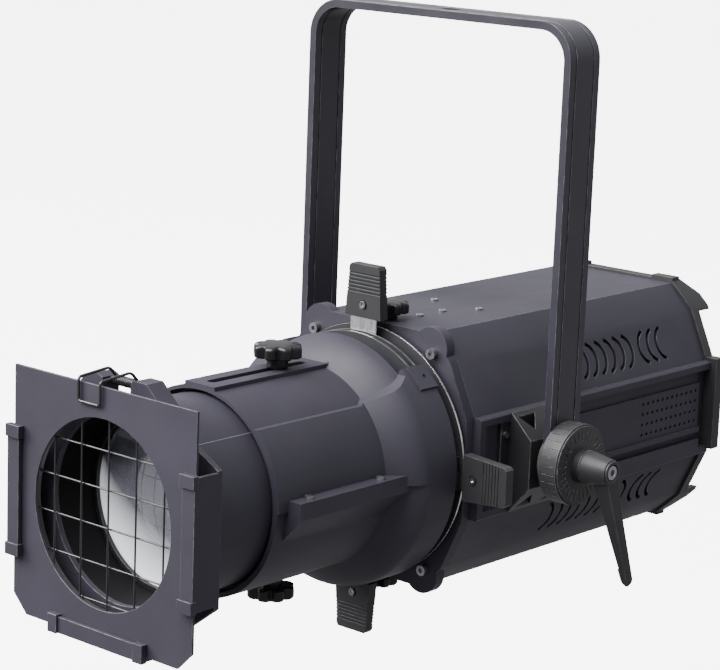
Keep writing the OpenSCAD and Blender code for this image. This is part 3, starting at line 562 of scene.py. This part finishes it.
def tube_seam():
    """Weld seam along the lens tube, a low half-round ridge, coloured pale as a painted highlight."""
    angle = math.radians(SEAM_ANGLE)
    x = SEAM_RADIUS * math.sin(angle)
    z = SEAM_RADIUS * math.cos(angle)
    bm = bmesh.new()
    swept(bm, [lamp(x, y, z) for y in SEAM_STATIONS], SEAM_WIRE, sides=16)
    bmesh.ops.recalc_face_normals(bm, faces=bm.faces)
    piece = finished(shaded(bm, "tube_seam"), "lens_tube", SEAM_PAINTED_HIGHLIGHT)
    # The whole seam takes the pale painted-highlight colour.
    for polygon in piece.data.polygons:
        polygon.material_index = 1


spring_clip()
tube_seam()


# ---------- floor, light and camera, in metres ----------

# The floor's width, its distance below the head's swing, and its slight glow.
FLOOR_SIZE = 60
FLOOR_GAP = 0.02
FLOOR_GLOW = 2.5
# The backdrop glows as brightly as the lit floor looks, so that no horizon shows.
BACKDROP_RADIUS = 25
BACKDROP_HEIGHT = 24
BACKDROP_GLOW = 6.3
BLACK = (0.0, 0.0, 0.0)
WHITE = (1.0, 1.0, 1.0)
HORIZON_COLOR = (0.55, 0.55, 0.57)
OVERHEAD_COLOR = (1.4, 1.4, 1.46)
# The lights point at the middle of the lamp.
LIGHT_TARGET = (0, 0, -0.25)
SOFTBOX_SIZE = (1.2, 1.8)
# The camera's place, how it is turned in degrees, and its lens and sensor in millimetres.
CAMERA_PLACE = (1.0412, -1.2760, 0.1300)
CAMERA_AZIMUTH = 41.055
CAMERA_ELEVATION = 12.194
CAMERA_ROLL = 2.182
CAMERA_LENS = 122.144
CAMERA_SENSOR = 36
# How far the camera sees, past the backdrop.
CAMERA_REACH = 100


def studio_backdrop(floor_z):
    """Round pale wall far behind everything; it sends the lamp no light, reflection or shadow."""
    bm = bmesh.new()
    bmesh.ops.create_cone(
        bm, segments=96, radius1=BACKDROP_RADIUS, radius2=BACKDROP_RADIUS, depth=BACKDROP_HEIGHT,
        matrix=Matrix.Translation((0, 0, floor_z + BACKDROP_HEIGHT / 2)),
    )
    mesh = bpy.data.meshes.new("studio_backdrop")
    bm.to_mesh(mesh)
    bm.free()
    wall = bpy.data.objects.new("studio_backdrop", mesh)
    bpy.context.scene.collection.objects.link(wall)
    shader = Shader("studio_backdrop")
    shader.put(shader.surface, "Base Color", rgb(BLACK))
    shader.put(shader.surface, "Specular IOR Level", 0.0)
    shader.put(shader.surface, "Emission Color", rgb(WHITE))
    shader.put(shader.surface, "Emission Strength", BACKDROP_GLOW)
    mesh.materials.append(shader.material)
    wall.visible_diffuse = False
    wall.visible_glossy = False
    wall.visible_transmission = False
    wall.visible_shadow = False


def studio_floor():
    """Pale floor, just below the lowest point that the hanging head can reach as it tilts.

    Its light and reflections stay off the lamp, whose underside would otherwise look pale.
    """
    joints = {joint["name"]: joint for joint in frame["joints"]}
    pivot = Vector(joints["head_tilt"]["pos_m"])
    _, front, lowest = cad_bounds[0]
    front_reach = pivot.y - front + joints["focus_slide"]["range_m"][1]
    swing = math.hypot(front_reach, pivot.z - lowest)
    floor_z = pivot.z - swing - FLOOR_GAP
    bpy.ops.mesh.primitive_plane_add(size=FLOOR_SIZE, location=(0, 0, floor_z))
    floor = bpy.context.object
    floor.name = "studio_floor"
    shader = Shader("studio_floor")
    speckle = shader.noise(3, detail=6)
    pale = shader.mixed(speckle, rgb((0.90, 0.90, 0.90)), rgb((0.93, 0.93, 0.93)))
    shader.put(shader.surface, "Base Color", pale)
    shader.put(shader.surface, "Roughness", 0.7)
    shader.put(shader.surface, "Emission Color", rgb(WHITE))
    shader.put(shader.surface, "Emission Strength", FLOOR_GLOW)
    floor.data.materials.append(shader.material)
    floor.visible_diffuse = False
    floor.visible_glossy = False
    studio_backdrop(floor_z)


def softbox(name, place, power):
    """Large soft light that points at the lamp."""
    light = bpy.data.lights.new(name, "AREA")
    light.shape = "RECTANGLE"
    light.size, light.size_y = SOFTBOX_SIZE
    light.energy = power
    towards = Vector(LIGHT_TARGET) - Vector(place)
    box = bpy.data.objects.new(name, light)
    box.location = place
    box.rotation_euler = towards.to_track_quat("-Z", "Y").to_euler()
    bpy.context.scene.collection.objects.link(box)


def studio_sky():
    """Sky that is brighter overhead than near the horizon."""
    world = bpy.data.worlds.new("studio_sky")
    world.use_nodes = True
    tree = world.node_tree
    direction = tree.nodes.new("ShaderNodeTexCoord").outputs["Generated"]
    height = tree.nodes.new("ShaderNodeSeparateXYZ")
    ramp = tree.nodes.new("ShaderNodeValToRGB")
    low, high = ramp.color_ramp.elements
    low.position = 0.0
    low.color = rgb(HORIZON_COLOR)
    high.position = 0.8
    high.color = rgb(OVERHEAD_COLOR)
    tree.links.new(direction, height.inputs[0])
    tree.links.new(height.outputs["Z"], ramp.inputs["Fac"])
    tree.links.new(ramp.outputs["Color"], tree.nodes["Background"].inputs["Color"])
    bpy.context.scene.world = world


def sun(direction, strength, softness):
    """Soft light from far away, from that direction; softness is its angle across in degrees."""
    light = bpy.data.lights.new("sun", "SUN")
    light.energy = strength
    light.angle = math.radians(softness)
    source = bpy.data.objects.new("sun", light)
    source.rotation_euler = Vector(direction).to_track_quat("Z", "Y").to_euler()
    bpy.context.scene.collection.objects.link(source)


def photo_camera():
    """A long lens, turned by azimuth, elevation and a small roll."""
    azimuth = math.radians(CAMERA_AZIMUTH)
    elevation = math.radians(CAMERA_ELEVATION)
    roll = math.radians(CAMERA_ROLL)
    forward = Vector((
        -math.sin(azimuth) * math.cos(elevation),
        math.cos(azimuth) * math.cos(elevation),
        -math.sin(elevation),
    ))
    right = Vector((math.cos(azimuth), math.sin(azimuth), 0))
    down = forward.cross(right)
    across = right * math.cos(roll) - down * math.sin(roll)
    up = -(right * math.sin(roll) + down * math.cos(roll))
    data = bpy.data.cameras.new("photo_camera")
    data.lens = CAMERA_LENS
    data.sensor_width = CAMERA_SENSOR
    data.clip_end = CAMERA_REACH
    camera = bpy.data.objects.new("photo_camera", data)
    axes = Matrix((across, up, -forward)).transposed().to_4x4()
    camera.matrix_world = Matrix.Translation(CAMERA_PLACE) @ axes
    bpy.context.scene.collection.objects.link(camera)
    bpy.context.scene.camera = camera


studio_floor()
studio_sky()
sun(direction=(-0.18, -0.55, 0.85), strength=12.5, softness=60)
softbox("side_light", place=(2.4, -1.2, 0.9), power=2.5)
softbox("left_light", place=(-2.2, -1.6, 1.2), power=240)
photo_camera()
